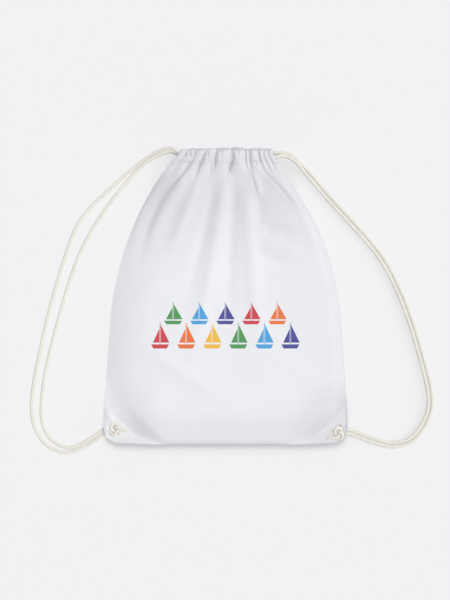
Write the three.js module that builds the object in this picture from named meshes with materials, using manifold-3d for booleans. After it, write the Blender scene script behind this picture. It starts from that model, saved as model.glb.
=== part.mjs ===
// Drawstring gym bag lying flat on its back panel: two cotton panels sewn along the sides and the bottom,
// a gathered hem casing along each top edge, and two looped cords that run through both casings and are
// knotted through the bottom corners. X runs across the bag, Y from the bottom edge to the mouth, Z up.
import * as THREE from "three";
import { mergeVertices } from "three/addons/utils/BufferGeometryUtils.js";
import Module from "manifold-3d";

// Driving dimensions, in millimetres
const CLOTH = { wall: 1.0, gap: 0.5, toCord: 3.45 };
const BAG = { bottomY: -212.8, bottomBow: 4, bowHalf: 170, stitchY: 187 };
const CORD = { diameter: 5.2, sides: 8, stepsPerSpan: 2 };
const SEAM = { floorZ: 0.5, backZ: 2.0, cornerZ: 6.9, edgeRoll: 16 };
const CORNER = { plateau: 30, fade: 74 };
const MOUTH = { backTop: 8.1, frontBottom: 14.9 };
const CASING = { half: 66, innerHalf: 46, laneHigh: 205.6 };
const CASING_ROLL = { radius: 3.9, puff: 0.42, lean: 0.9, backLead: 1.45 };
const ROLL = { left: 46, right: 22, bottom: 34, neck: 12, power: 0.8 };
const NECK = { from: 96, to: 184 };
const SLIT = { from: 120, to: 186 };
const FRONT_GATHER = { from: 142, to: 192, share: 0.9 };
const BACK_GATHER = { from: 128, full: 172, fade: 178, end: 190, share: 0.8 };
const PLEAT = { steps: 4, power: 0.8 };
const FOLD = { samples: 24, fadeIn: 0.22, fadeOut: 0.6, overrun: 0.02 };
const PATCH = { baseY: -206.5, leg: 47, tip: 3, inset: 3, rows: 6, gap: 0.7 };
const SLOT = { halfLength: 8.4, halfWidth: 6.6, behind: 0.5, depth: 40, below: 5, arcSteps: 5 };
const KNOT = { ring: 5.7, lobe: 2.75, rise: 2.95, open: 0.34, tail: 8, samples: 26, sides: 6 };
const ROWS = { body: 16, clustering: 0.75 };
const MERGE = 1e-4;

// Side outline: half width and sideways shift at each height
const OUTLINE = [
  { y: -212, half: 160, shift: 0 },
  { y: -207, half: 170, shift: 0 },
  { y: -198, half: 174, shift: 0 },
  { y: -184, half: 175, shift: 0 },
  { y: -130, half: 171.6, shift: 0 },
  { y: -60, half: 166.6, shift: 0 },
  { y: 0, half: 161, shift: 0 },
  { y: 60, half: 147, shift: 0 },
  { y: 105, half: 129.5, shift: -1 },
  { y: 140, half: 111, shift: -2.4 },
  { y: 165, half: 95, shift: -3 },
  { y: 181, half: 82.5, shift: -3 },
  { y: 190, half: 76.5, shift: -2.5 },
  { y: 198, half: 70, shift: -0.8 },
  { y: 206, half: 65.5, shift: 1 },
  { y: 214, half: 63.5, shift: 2.5 },
];

// Height of the front panel along its middle line
const CROWN = [
  { y: -212, z: 15 },
  { y: -140, z: 15.8 },
  { y: -40, z: 16.8 },
  { y: 60, z: 18 },
  { y: 140, z: 19.2 },
  { y: 168, z: 19 },
  { y: 188, z: 17.2 },
];

// Pleats along the front casing: each runs from its crease to the next one, with the rise of its ridge
const FRONT_PLEATS = [
  { crease: -66, rise: 3.0 },
  { crease: -57, rise: 3.6 },
  { crease: -49, rise: 3.4 },
  { crease: -39.5, rise: 3.0 },
  { crease: -31, rise: 4.4 },
  { crease: -16, rise: 5.2 },
  { crease: 6, rise: 5.4 },
  { crease: 25, rise: 3.0 },
  { crease: 32, rise: 4.6 },
  { crease: 47, rise: 3.2 },
  { crease: 54, rise: 2.8 },
  { crease: 60, rise: 2.6 },
  { crease: 66, rise: 0 },
];

// Pleats along the back casing, which push its top edge out past the front one
const BACK_PLEATS = [
  { crease: -66, rise: 1.6 },
  { crease: -47, rise: 2.0 },
  { crease: -33, rise: 1.4 },
  { crease: -20, rise: 2.2 },
  { crease: 1, rise: 2.6 },
  { crease: 20, rise: 2.4 },
  { crease: 37, rise: 1.5 },
  { crease: 50, rise: 1.6 },
  { crease: 66, rise: 0 },
];

// Folds and dents of the front panel: start, bend and end points, half width, height (minus is a valley)
const FOLDS = [
  { from: [-46, 186], via: [-101, 132], to: [-128, 58], width: 6, height: -3.4 },
  { from: [-62, 176], via: [-108, 120], to: [-131, 20], width: 9, height: 1.8 },
  { from: [-37, 182], via: [-57, 122], to: [-90, 50], width: 7, height: -2.6 },
  { from: [-58, 168], via: [-80, 128], to: [-108, 66], width: 9, height: 2.4 },
  { from: [-15, 178], via: [-18, 80], to: [-58, -14], width: 10, height: -3.0 },
  { from: [-30, 168], via: [-40, 110], to: [-62, 44], width: 9, height: 2.0 },
  { from: [0, 170], via: [-2, 96], to: [-5, 16], width: 8, height: 2.2 },
  { from: [4, 184], via: [3, 172], to: [-2, 160], width: 5, height: -2.4 },
  { from: [15, 164], via: [17, 90], to: [12, 4], width: 9, height: -2.8 },
  { from: [32, 166], via: [35, 120], to: [34, 72], width: 8, height: 2.4 },
  { from: [38, 180], via: [40, 160], to: [46, 138], width: 5, height: -2.8 },
  { from: [48, 176], via: [80, 152], to: [118, 118], width: 7, height: -3.2 },
  { from: [52, 104], via: [76, 106], to: [104, 96], width: 13, height: -2.6 },
  { from: [50, 88], via: [78, 78], to: [110, 72], width: 10, height: 1.8 },
  { from: [36, 84], via: [66, 56], to: [108, 52], width: 7, height: -2.2 },
  { from: [-101, -97], via: [-40, -142], to: [48, -169], width: 14, height: -1.6 },
  { from: [-96, -82], via: [-36, -122], to: [56, -148], width: 14, height: 1.0 },
  { from: [-90, -191], via: [0, -194], to: [110, -190], width: 9, height: 1.2 },
];

// Cord routes: the points each centre line passes, from the knot at the corner and back to it
const LEFT_ROUTE = [
  [-160.9, -192.5, 8.6],
  [-166.3, -194.5, 5.2],
  [-173.2, -197.1, 3],
  [-185, -205.4, 2.7],
  [-205, -217.8, 2.7],
  [-230, -224.4, 2.7],
  [-254, -215.6, 2.7],
  [-270, -197, 2.7],
  [-278.8, -164, 2.7],
  [-263.4, -64, 2.7],
  [-235, 42, 2.7],
  [-209.5, 108, 2.7],
  [-164, 156, 2.95],
  [-123.5, 190.3, 5.6],
  [-108, 201.2, 9.4],
  [-80, 212.4, 16.9],
  [-66.5, 206.1, 18.85],
  [-44, 205.6, 18.8],
  [40, 205.6, 18.85],
  [50, 205.6, 18.85],
  [56.3, 204.1, 16.7],
  [59, 200.7, 11.4],
  [56.3, 197.3, 6.1],
  [50, 195.8, 4],
  [40, 195.8, 4],
  [-48, 196.2, 4],
  [-63, 201, 4],
  [-79, 208, 3.4],
  [-95.6, 202.8, 2.8],
  [-116.4, 190.4, 2.7],
  [-166.6, 133.2, 2.7],
  [-208, 64, 2.7],
  [-244, -48, 2.7],
  [-262, -130, 2.7],
  [-263.4, -180, 2.7],
  [-250, -206.4, 2.7],
  [-224.6, -217.6, 2.7],
  [-203.2, -209.4, 2.7],
  [-185, -198.4, 2.7],
  [-175.3, -191.3, 3],
  [-168.4, -188.8, 5.2],
  [-163, -186.8, 8.6],
];
const RIGHT_ROUTE = [
  [164.3, -194.5, 8.2],
  [169.9, -195.9, 5.2],
  [177, -197.7, 3],
  [190, -202, 2.7],
  [214, -210.8, 2.7],
  [243, -216.4, 2.7],
  [270, -207.6, 2.7],
  [288.6, -183.6, 2.7],
  [297.4, -153, 2.7],
  [281.6, -77, 2.7],
  [253, 6.1, 2.7],
  [224.1, 59.9, 2.7],
  [150.6, 143.4, 2.7],
  [113, 186.2, 2.7],
  [90, 204.4, 3.2],
  [66, 205.6, 4],
  [-40, 205.6, 4],
  [-50, 205.6, 4],
  [-56.3, 204.1, 6.1],
  [-59, 200.7, 11.4],
  [-56.3, 197.3, 16.7],
  [-50, 195.8, 18.85],
  [-40, 195.8, 18.85],
  [44, 195.8, 18.8],
  [66, 195.9, 18.8],
  [82, 200.6, 16.8],
  [99.4, 193.4, 10.2],
  [112.6, 179, 5.6],
  [146.2, 139.6, 3.2],
  [219.2, 56.8, 2.75],
  [247.8, 3.7, 2.7],
  [276.2, -78.8, 2.7],
  [291.6, -152.6, 2.7],
  [283.6, -180.8, 2.7],
  [266.6, -202.8, 2.7],
  [242.8, -210.6, 2.7],
  [215.8, -205.2, 2.7],
  [191.6, -196.4, 2.7],
  [178.5, -191.8, 3],
  [171.4, -190, 5.2],
  [165.8, -188.6, 8.2],
];

// Where each cord passes its corner, and the way it heads inward
const HOLES = {
  left: { x: -165.3, y: -190.9, heading: [0.938, 0.347] },
  right: { x: 168.5, y: -192.4, heading: [-0.97, 0.243] },
};

// Where each knot sits on its patch, and how far its tail is turned round
const KNOTS = {
  left: { x: -157.4, y: -190.4, turn: -0.35 },
  right: { x: 160, y: -196.4, turn: 3.3 },
};

// Casing sections from the stitching round to the end of the hem: the rows of the outer layer, the turns of
// the roll round the upper cord, and the rows of the inner layer, which is as narrow as a share of 0 makes it
const FRONT_SECTION = {
  outer: [
    { y: 190.5, z: 21, puff: 0.95 },
    { y: 196, z: 22.7, puff: 1 },
    { y: 203.5, z: 22.7, puff: 0.95 },
  ],
  roll: [
    { degrees: 58, share: 1 },
    { degrees: 16, share: 1 },
    { degrees: -26, share: 0.8 },
    { degrees: -66, share: 0 },
  ],
  inner: [202, 195, 188.5],
};
const BACK_SECTION = {
  outer: [
    { y: 194, z: 0.5, puff: 0 },
    { y: 202, z: 0.5, puff: 0 },
  ],
  roll: [
    { degrees: -76, share: 1 },
    { degrees: -28, share: 1 },
    { degrees: 20, share: 0.8 },
    { degrees: 70, share: 0 },
  ],
  inner: [202.5, 195.5, 188.5],
};

const cotton = new THREE.MeshStandardMaterial({ color: 0xeff0f3, roughness: 0.9 });
const patchCloth = new THREE.MeshStandardMaterial({ color: 0xf3f3f4, roughness: 0.85 });
const cordCotton = new THREE.MeshStandardMaterial({ color: 0xe9e4d4, roughness: 0.95 });

const clamp = THREE.MathUtils.clamp;
const lerp = THREE.MathUtils.lerp;

// Eases from 0 at one value to 1 at another, which may be the lower one
function ramp(from, to, value) {
  const u = clamp((value - from) / (to - from), 0, 1);
  return u * u * (3 - 2 * u);
}

// A smooth curve through the rows of a table, read at one height
function tableAt(table, y, column) {
  const last = table.length - 1;
  const at = clamp(y, table[0].y, table[last].y);
  let row = 0;
  while (row < last - 1 && at > table[row + 1].y) row += 1;
  const slope = (i) => {
    const low = table[Math.max(i - 1, 0)];
    const high = table[Math.min(i + 1, last)];
    return (high[column] - low[column]) / (high.y - low.y);
  };
  const span = table[row + 1].y - table[row].y;
  const u = (at - table[row].y) / span;
  const start = table[row][column] * (1 + 2 * u) * (1 - u) ** 2 + slope(row) * span * u * (1 - u) ** 2;
  return start + table[row + 1][column] * u * u * (3 - 2 * u) + slope(row + 1) * span * u * u * (u - 1);
}

// Rise of the pleats at a place across the casing
function pleatRise(pleats, across) {
  for (let i = 0; i + 1 < pleats.length; i += 1) {
    const u = (across - pleats[i].crease) / (pleats[i + 1].crease - pleats[i].crease);
    if (u >= 0 && u <= 1) return pleats[i].rise * Math.sin(Math.PI * u) ** PLEAT.power;
  }
  return 0;
}

// Sum of the folds at one place on the front panel
function foldHeight(x, y) {
  let sum = 0;
  for (const fold of FOLDS) {
    let nearest = Infinity;
    let along = 0;
    for (let k = 0; k <= FOLD.samples; k += 1) {
      const u = k / FOLD.samples;
      const px = fold.from[0] * (1 - u) ** 2 + 2 * fold.via[0] * u * (1 - u) + fold.to[0] * u * u;
      const py = fold.from[1] * (1 - u) ** 2 + 2 * fold.via[1] * u * (1 - u) + fold.to[1] * u * u;
      const distance = Math.hypot(x - px, y - py);
      if (distance < nearest) {
        nearest = distance;
        along = u;
      }
    }
    const fade = ramp(-FOLD.overrun, FOLD.fadeIn, along) * ramp(1 + FOLD.overrun, FOLD.fadeOut, along);
    sum += fold.height * fade * Math.exp(-((nearest / fold.width) ** 2));
  }
  return sum;
}

// 1 round either corner hole, fading to 0 away from it
function cornerLift(x, y) {
  const left = Math.hypot(x - HOLES.left.x, y - HOLES.left.y);
  const right = Math.hypot(x - HOLES.right.x, y - HOLES.right.y);
  return ramp(CORNER.fade, CORNER.plateau, Math.min(left, right));
}

function rollOff(distance, width) {
  return Math.sin((Math.PI / 2) * clamp(distance / width, 0, 1)) ** ROLL.power;
}

function bottomEdge(x) {
  return BAG.bottomY + BAG.bottomBow * (x / BAG.bowHalf) ** 4;
}

function edgeDistances(x, y) {
  const half = tableAt(OUTLINE, y, "half");
  const shift = tableAt(OUTLINE, y, "shift");
  return { left: x - shift + half, right: half + shift - x, bottom: y - bottomEdge(x) };
}

// Height of the middle of the front cloth below the casing
function frontHeight(s, x, y) {
  const from = edgeDistances(x, y);
  const neck = ramp(NECK.from, NECK.to, y);
  const crown = tableAt(CROWN, y, "z");
  const seam = lerp(SEAM.backZ + CLOTH.wall + CLOTH.gap, crown, ramp(SLIT.from, SLIT.to, y));
  const leftRoll = rollOff(from.left, lerp(ROLL.left, ROLL.neck, neck));
  const rightRoll = rollOff(from.right, lerp(ROLL.right, ROLL.neck, neck));
  const roll = leftRoll * rightRoll * rollOff(from.bottom, ROLL.bottom);
  const gather = FRONT_GATHER.share * ramp(FRONT_GATHER.from, FRONT_GATHER.to, y);
  const ripple = foldHeight(x, y) + gather * pleatRise(FRONT_PLEATS, s * CASING.half);
  const body = lerp(seam, crown, roll) + roll * ripple;
  return lerp(body, SEAM.cornerZ + CLOTH.wall + CLOTH.gap, cornerLift(x, y));
}

// Height of the middle of the back cloth below the casing
function backHeight(s, x, y) {
  const from = edgeDistances(x, y);
  const edge = 1 - ramp(0, SEAM.edgeRoll, Math.min(from.left, from.right, from.bottom));
  const seam = lerp(SEAM.backZ, SEAM.floorZ, ramp(SLIT.from, SLIT.to, y));
  const fade = ramp(BACK_GATHER.from, BACK_GATHER.full, y) * ramp(BACK_GATHER.end, BACK_GATHER.fade, y);
  const gathers = BACK_GATHER.share * fade * pleatRise(BACK_PLEATS, s * CASING.half);
  return lerp(lerp(SEAM.floorZ, seam, edge) + gathers, SEAM.cornerZ, cornerLift(x, y));
}

// Points of the front casing's section for a pleat of the given rise
function frontCasing(rise) {
  const inner = MOUTH.frontBottom + CLOTH.wall / 2;
  const outerRows = FRONT_SECTION.outer.map((row) => ({ y: row.y, z: row.z + rise * row.puff, share: 1 }));
  const rollRows = FRONT_SECTION.roll.map((row) => {
    const angle = THREE.MathUtils.degToRad(row.degrees);
    const swell = rise * CASING_ROLL.puff * Math.max(0, Math.cos(angle - CASING_ROLL.lean));
    const reach = CASING_ROLL.radius + swell;
    const z = inner + CLOTH.toCord + reach * Math.sin(angle);
    return { y: CASING.laneHigh + reach * Math.cos(angle), z, share: row.share };
  });
  const innerRows = FRONT_SECTION.inner.map((y) => ({ y, z: inner, share: 0 }));
  return [...outerRows, ...rollRows, ...innerRows];
}

// Points of the back casing's section, whose pleats swell outward past the front one
function backCasing(rise) {
  const inner = MOUTH.backTop - CLOTH.wall / 2;
  const halfHeight = (inner - SEAM.floorZ) / 2;
  const outerRows = BACK_SECTION.outer.map((row) => ({ y: row.y, z: row.z, share: 1 }));
  const rollRows = BACK_SECTION.roll.map((row) => {
    const angle = THREE.MathUtils.degToRad(row.degrees);
    const reach = CASING_ROLL.radius + Math.cos(angle) * (CASING_ROLL.backLead + rise);
    const z = SEAM.floorZ + halfHeight * (1 + Math.sin(angle));
    return { y: CASING.laneHigh + reach * Math.cos(angle), z, share: row.share };
  });
  const innerRows = BACK_SECTION.inner.map((y) => ({ y, z: inner, share: 0 }));
  return [...outerRows, ...rollRows, ...innerRows];
}

// Middle points of a panel: one row of points for each step from the bottom edge to the end of the hem
function panelGrid(columns, pleats, height, casing) {
  const grid = [];
  for (let row = 0; row <= ROWS.body; row += 1) {
    const u = row / ROWS.body;
    const v = u - (ROWS.clustering * Math.sin(2 * Math.PI * u)) / (2 * Math.PI);
    grid.push(
      columns.map((s) => {
        let y = lerp(BAG.bottomY, BAG.stitchY, v);
        const x = tableAt(OUTLINE, y, "shift") + s * tableAt(OUTLINE, y, "half");
        y = lerp(bottomEdge(x), BAG.stitchY, v);
        return new THREE.Vector3(x, y, height(s, x, y));
      }),
    );
  }
  const sections = columns.map((s) => casing(pleatRise(pleats, s * CASING.half)));
  for (let row = 0; row < sections[0].length; row += 1) {
    grid.push(
      columns.map((s, i) => {
        const { y, z, share } = sections[i][row];
        const half = lerp(CASING.innerHalf, tableAt(OUTLINE, y, "half"), share);
        return new THREE.Vector3(tableAt(OUTLINE, y, "shift") + s * half, y, z);
      }),
    );
  }
  return grid;
}

// Closed solid of even thickness about a grid of middle points; its upper side faces the way the grid turns
function thicken(grid, wall) {
  const rows = grid.length;
  const columns = grid[0].length;
  const positions = [];
  const pick = (r, c) => grid[clamp(r, 0, rows - 1)][clamp(c, 0, columns - 1)];
  for (const side of [0.5, -0.5]) {
    for (let r = 0; r < rows; r += 1) {
      for (let c = 0; c < columns; c += 1) {
        const across = pick(r, c + 1).clone().sub(pick(r, c - 1));
        const along = pick(r + 1, c).clone().sub(pick(r - 1, c));
        const normal = across.cross(along).normalize();
        positions.push(...pick(r, c).clone().addScaledVector(normal, side * wall).toArray());
      }
    }
  }
  const index = [];
  const quad = (a, b, c, d) => index.push(a, b, c, a, c, d);
  const under = rows * columns;
  const at = (r, c) => r * columns + c;
  for (let r = 0; r + 1 < rows; r += 1) {
    for (let c = 0; c + 1 < columns; c += 1) {
      quad(at(r, c), at(r, c + 1), at(r + 1, c + 1), at(r + 1, c));
      quad(under + at(r, c), under + at(r + 1, c), under + at(r + 1, c + 1), under + at(r, c + 1));
    }
  }
  for (let c = 0; c + 1 < columns; c += 1) {
    quad(under + at(0, c), under + at(0, c + 1), at(0, c + 1), at(0, c));
    quad(at(rows - 1, c), at(rows - 1, c + 1), under + at(rows - 1, c + 1), under + at(rows - 1, c));
  }
  const last = columns - 1;
  for (let r = 0; r + 1 < rows; r += 1) {
    quad(at(r, 0), at(r + 1, 0), under + at(r + 1, 0), under + at(r, 0));
    quad(under + at(r, last), under + at(r + 1, last), at(r + 1, last), at(r, last));
  }
  const geometry = new THREE.BufferGeometry();
  geometry.setAttribute("position", new THREE.Float32BufferAttribute(positions, 3));
  geometry.setIndex(index);
  return geometry;
}

const wasm = await Module();
wasm.setup();

function toSolid(geometry) {
  const bare = new THREE.BufferGeometry();
  bare.setAttribute("position", geometry.getAttribute("position"));
  bare.setIndex(geometry.getIndex());
  const merged = mergeVertices(bare, MERGE);
  const vertProperties = new Float32Array(merged.getAttribute("position").array);
  const triVerts = new Uint32Array(merged.getIndex().array);
  return new wasm.Manifold(new wasm.Mesh({ numProp: 3, vertProperties, triVerts }));
}

function toGeometry(solid) {
  const mesh = solid.getMesh();
  const geometry = new THREE.BufferGeometry();
  geometry.setAttribute("position", new THREE.BufferAttribute(mesh.vertProperties, mesh.numProp));
  geometry.setIndex(new THREE.BufferAttribute(mesh.triVerts, 1));
  const flat = geometry.toNonIndexed();
  flat.computeVertexNormals();
  return flat;
}

// Upright prism through a corner, as long as the cord pair needs on its way in
function slotTool(hole) {
  const shape = new THREE.Shape();
  const straight = SLOT.halfLength - SLOT.halfWidth;
  shape.absarc(straight, 0, SLOT.halfWidth, -Math.PI / 2, Math.PI / 2, false);
  shape.absarc(-straight, 0, SLOT.halfWidth, Math.PI / 2, (3 * Math.PI) / 2, false);
  const options = { depth: SLOT.depth, bevelEnabled: false, curveSegments: SLOT.arcSteps };
  const prism = new THREE.ExtrudeGeometry(shape, options);
  prism.rotateZ(Math.atan2(hole.heading[1], hole.heading[0]));
  const x = hole.x - SLOT.behind * hole.heading[0];
  const y = hole.y - SLOT.behind * hole.heading[1];
  prism.translate(x, y, -SLOT.below);
  prism.deleteAttribute("normal");
  prism.deleteAttribute("uv");
  return toSolid(mergeVertices(prism, MERGE));
}

const slots = [slotTool(HOLES.left), slotTool(HOLES.right)];

function addPiece(name, geometry, material) {
  const mesh = new THREE.Mesh(geometry, material);
  mesh.name = name;
  bag.add(mesh);
}

const bag = new THREE.Group();
bag.name = "drawstring_gym_bag";

// Columns follow the pleats of the front casing; the back panel uses every second one
const columns = [];
for (let i = 0; i + 1 < FRONT_PLEATS.length; i += 1) {
  for (let k = 0; k < PLEAT.steps; k += 1) {
    columns.push(lerp(FRONT_PLEATS[i].crease, FRONT_PLEATS[i + 1].crease, k / PLEAT.steps) / CASING.half);
  }
}
columns.push(1);
const backColumns = columns.filter((s, i) => i % 2 === 0);

const frontSheet = thicken(panelGrid(columns, FRONT_PLEATS, frontHeight, frontCasing), CLOTH.wall);
addPiece("front_panel", toGeometry(toSolid(frontSheet).subtract(slots[0]).subtract(slots[1])), cotton);

const backSheet = thicken(panelGrid(backColumns, BACK_PLEATS, backHeight, backCasing), CLOTH.wall);
addPiece("back_panel", toGeometry(toSolid(backSheet).subtract(slots[0]).subtract(slots[1])), cotton);

// Three-cornered patches that follow the front panel round each corner hole
function cornerPatch(side) {
  const grid = [];
  for (let row = 0; row <= PATCH.rows; row += 1) {
    const up = PATCH.inset + (PATCH.leg * row) / PATCH.rows;
    const reach = Math.max(PATCH.leg - (up - PATCH.inset), PATCH.tip);
    const line = [];
    for (let k = 0; k <= PATCH.rows; k += 1) {
      const along = side < 0 ? k / PATCH.rows : 1 - k / PATCH.rows;
      const y = PATCH.baseY + up;
      const edge = side * tableAt(OUTLINE, y, "half") - side * PATCH.inset;
      const x = edge - side * reach * along;
      const s = x / tableAt(OUTLINE, y, "half");
      const z = frontHeight(s, x, y) + CLOTH.wall + PATCH.gap;
      line.push(new THREE.Vector3(x, Math.max(y, bottomEdge(x) + PATCH.inset), z));
    }
    grid.push(line);
  }
  return thicken(grid, CLOTH.wall);
}
addPiece("left_corner_patch", toGeometry(toSolid(cornerPatch(-1)).subtract(slots[0])), patchCloth);
addPiece("right_corner_patch", toGeometry(toSolid(cornerPatch(1)).subtract(slots[1])), patchCloth);

// A curve whose steps follow its own points, so that the bends get the short ones
class RouteCurve extends THREE.CatmullRomCurve3 {
  getUtoTmapping(u) {
    return u;
  }
}

function roundSection(radius, sides) {
  const shape = new THREE.Shape();
  for (let k = 0; k < sides; k += 1) {
    const angle = (2 * Math.PI * k) / sides;
    if (k === 0) shape.moveTo(radius, 0);
    else shape.lineTo(radius * Math.cos(angle), radius * Math.sin(angle));
  }
  shape.closePath();
  return shape;
}

function cordTube(route) {
  const path = new RouteCurve(route.map((point) => new THREE.Vector3(...point)), false, "centripetal");
  const steps = (route.length - 1) * CORD.stepsPerSpan;
  const section = roundSection(CORD.diameter / 2, CORD.sides);
  return new THREE.ExtrudeGeometry(section, { steps, bevelEnabled: false, extrudePath: path });
}
addPiece("left_cord", cordTube(LEFT_ROUTE), cordCotton);
addPiece("right_cord", cordTube(RIGHT_ROUTE), cordCotton);

// Overhand knot: a three-lobed loop left open where its ends come away, one of them drawn out as a tail
function knotPath() {
  const points = [];
  for (let k = 0; k <= KNOT.samples; k += 1) {
    const t = lerp(KNOT.open, 2 * Math.PI - KNOT.open, k / KNOT.samples);
    const reach = KNOT.ring + KNOT.lobe * Math.cos(3 * t);
    const z = KNOT.rise * Math.sin(3 * t);
    points.push(new THREE.Vector3(reach * Math.cos(2 * t), reach * Math.sin(2 * t), z));
  }
  const outward = points[0].clone().sub(points[1]).setLength(KNOT.tail);
  points.unshift(points[0].clone().add(outward));
  return new RouteCurve(points, false, "centripetal");
}

function knotGeometry(seat) {
  const section = roundSection(CORD.diameter / 2, KNOT.sides);
  const options = { steps: KNOT.samples + 1, bevelEnabled: false, extrudePath: knotPath() };
  const knot = new THREE.ExtrudeGeometry(section, options);
  const patchTop = SEAM.cornerZ + 2.5 * CLOTH.wall + CLOTH.gap + PATCH.gap;
  knot.rotateZ(seat.turn);
  return knot.translate(seat.x, seat.y, patchTop + CLOTH.gap + KNOT.rise + CORD.diameter / 2);
}
addPiece("left_knot", knotGeometry(KNOTS.left), cordCotton);
addPiece("right_knot", knotGeometry(KNOTS.right), cordCotton);

export default bag;
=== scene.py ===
import random

import bmesh
import bpy
import numpy as np
from mathutils import Matrix, Vector, noise


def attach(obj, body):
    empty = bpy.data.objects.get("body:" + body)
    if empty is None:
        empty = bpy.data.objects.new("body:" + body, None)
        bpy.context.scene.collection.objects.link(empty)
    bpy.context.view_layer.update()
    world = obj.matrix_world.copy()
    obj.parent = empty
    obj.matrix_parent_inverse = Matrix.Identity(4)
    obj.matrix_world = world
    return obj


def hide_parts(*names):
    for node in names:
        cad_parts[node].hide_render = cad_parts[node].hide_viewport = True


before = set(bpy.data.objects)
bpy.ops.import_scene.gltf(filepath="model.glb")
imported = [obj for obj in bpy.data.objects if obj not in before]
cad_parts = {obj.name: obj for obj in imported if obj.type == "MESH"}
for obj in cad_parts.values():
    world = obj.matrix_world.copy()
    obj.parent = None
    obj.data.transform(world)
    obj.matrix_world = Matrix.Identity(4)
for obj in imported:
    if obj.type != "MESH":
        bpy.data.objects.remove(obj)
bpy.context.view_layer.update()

mm = 0.001
print("frame loaded,", len(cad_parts), "nodes")

# camera straight above the bag, its frame 450 by 600 and 861 mm tall at the cloth
copyStand = {"lens": 85, "sensor": 36, "frameTall": 861, "middle": (-0.7, -5.3), "clothLevel": 6}


def setCamera():
    optics = bpy.data.cameras.new("copyStandCamera")
    optics.lens = copyStand["lens"]
    optics.sensor_width = copyStand["sensor"]
    camera = bpy.data.objects.new("copyStandCamera", optics)
    height = copyStand["frameTall"] * copyStand["lens"] / copyStand["sensor"] + copyStand["clothLevel"]
    camera.location = Vector((*copyStand["middle"], height)) * mm
    bpy.context.collection.objects.link(camera)
    bpy.context.scene.camera = camera


setCamera()
print("camera set")


# small helpers for shaping
def ease(low, high, value):
    u = np.clip((value - low) / (high - low), 0, 1)
    return u * u * (3 - 2 * u)


def blendTo(start, end, share):
    return start + (end - start) * share


def tableAt(rows, y, column):
    table = np.array(rows, float)
    levels, values = table[:, 0], table[:, column]
    last = len(levels) - 1
    places = np.arange(last + 1)
    low, high = np.maximum(places - 1, 0), np.minimum(places + 1, last)
    slopes = (values[high] - values[low]) / (levels[high] - levels[low])
    at = np.clip(y, levels[0], levels[-1])
    row = np.clip(np.searchsorted(levels, at) - 1, 0, last - 1)
    span = levels[row + 1] - levels[row]
    u = (at - levels[row]) / span
    start = values[row] * (1 + 2 * u) * (1 - u) ** 2 + slopes[row] * span * u * (1 - u) ** 2
    return start + values[row + 1] * u * u * (3 - 2 * u) + slopes[row + 1] * span * u * u * (u - 1)


# smooth line through points, the curve that the cords' own solids follow
def lineThrough(points, perSpan):
    p = np.asarray(points, float)
    p = np.vstack([2 * p[0] - p[1], p, 2 * p[-1] - p[-2]])
    u = np.arange(perSpan)[:, None] / perSpan
    spans = []
    for before, start, end, after in zip(p, p[1:], p[2:], p[3:]):
        gapIn = np.linalg.norm(start - before) ** 0.5
        gap = np.linalg.norm(end - start) ** 0.5
        gapOut = np.linalg.norm(after - end) ** 0.5
        leave = ((start - before) / gapIn - (end - before) / (gapIn + gap) + (end - start) / gap) * gap
        arrive = ((end - start) / gap - (after - start) / (gap + gapOut) + (after - end) / gapOut) * gap
        bend = 3 * (end - start) - 2 * leave - arrive
        twist = 2 * (start - end) + leave + arrive
        spans.append(start + leave * u + bend * u**2 + twist * u**3)
    return np.vstack(spans + [p[-2:-1]])


def evenSteps(line, step):
    runs = np.linalg.norm(np.diff(line, axis=0), axis=1)
    run = np.concatenate([[0], np.cumsum(runs)])
    at = np.linspace(0, run[-1], round(run[-1] / step) + 1)
    return np.stack([np.interp(at, run, line[:, k]) for k in range(3)], axis=1), at


# two directions across a line at each of its points, carried along without twisting
def crossDirections(line):
    along = np.gradient(line, axis=0)
    along /= np.linalg.norm(along, axis=1)[:, None]
    side = np.cross(along[0], (0, 0, 1))
    sides = []
    for way in along:
        side = side - way * side.dot(way)
        side = side / np.linalg.norm(side)
        sides.append(side)
    return np.array(sides), np.cross(along, sides)


def makePiece(name, bm, material, slotName, *nodes):
    mesh = bpy.data.meshes.new(name)
    bm.to_mesh(mesh)
    bm.free()
    mesh.shade_smooth()
    mesh.materials.append(material)
    piece = bpy.data.objects.new(name, mesh)
    bpy.context.collection.objects.link(piece)
    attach(piece, "root")
    if nodes:
        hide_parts(*nodes)
    return piece


# small helpers for shader nodes
def feed(tree, socket, value):
    if isinstance(value, bpy.types.NodeSocket):
        tree.links.new(value, socket)
    else:
        socket.default_value = value


def mathOf(tree, operation, *values):
    node = tree.nodes.new("ShaderNodeMath")
    node.operation = operation
    for socket, value in zip(node.inputs, values):
        feed(tree, socket, value)
    return node.outputs[0]


def mixColours(tree, share, first, second, blend="MIX"):
    node = tree.nodes.new("ShaderNodeMix")
    node.data_type = "RGBA"
    node.blend_type = blend
    feed(tree, node.inputs[0], share)
    feed(tree, node.inputs[6], first)
    feed(tree, node.inputs[7], second)
    return node.outputs[2]


def noiseAt(tree, place, scale, detail=2.0):
    node = tree.nodes.new("ShaderNodeTexNoise")
    node.inputs["Scale"].default_value = scale
    node.inputs["Detail"].default_value = detail
    tree.links.new(place, node.inputs["Vector"])
    return node.outputs["Fac"]


def stretched(tree, place, scale):
    node = tree.nodes.new("ShaderNodeMapping")
    node.inputs["Scale"].default_value = scale
    tree.links.new(place, node.inputs["Vector"])
    return node.outputs["Vector"]


def bumpFrom(tree, height, strength, distance):
    node = tree.nodes.new("ShaderNodeBump")
    node.inputs["Strength"].default_value = strength
    node.inputs["Distance"].default_value = distance * mm
    tree.links.new(height, node.inputs["Height"])
    return node.outputs["Normal"]


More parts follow.
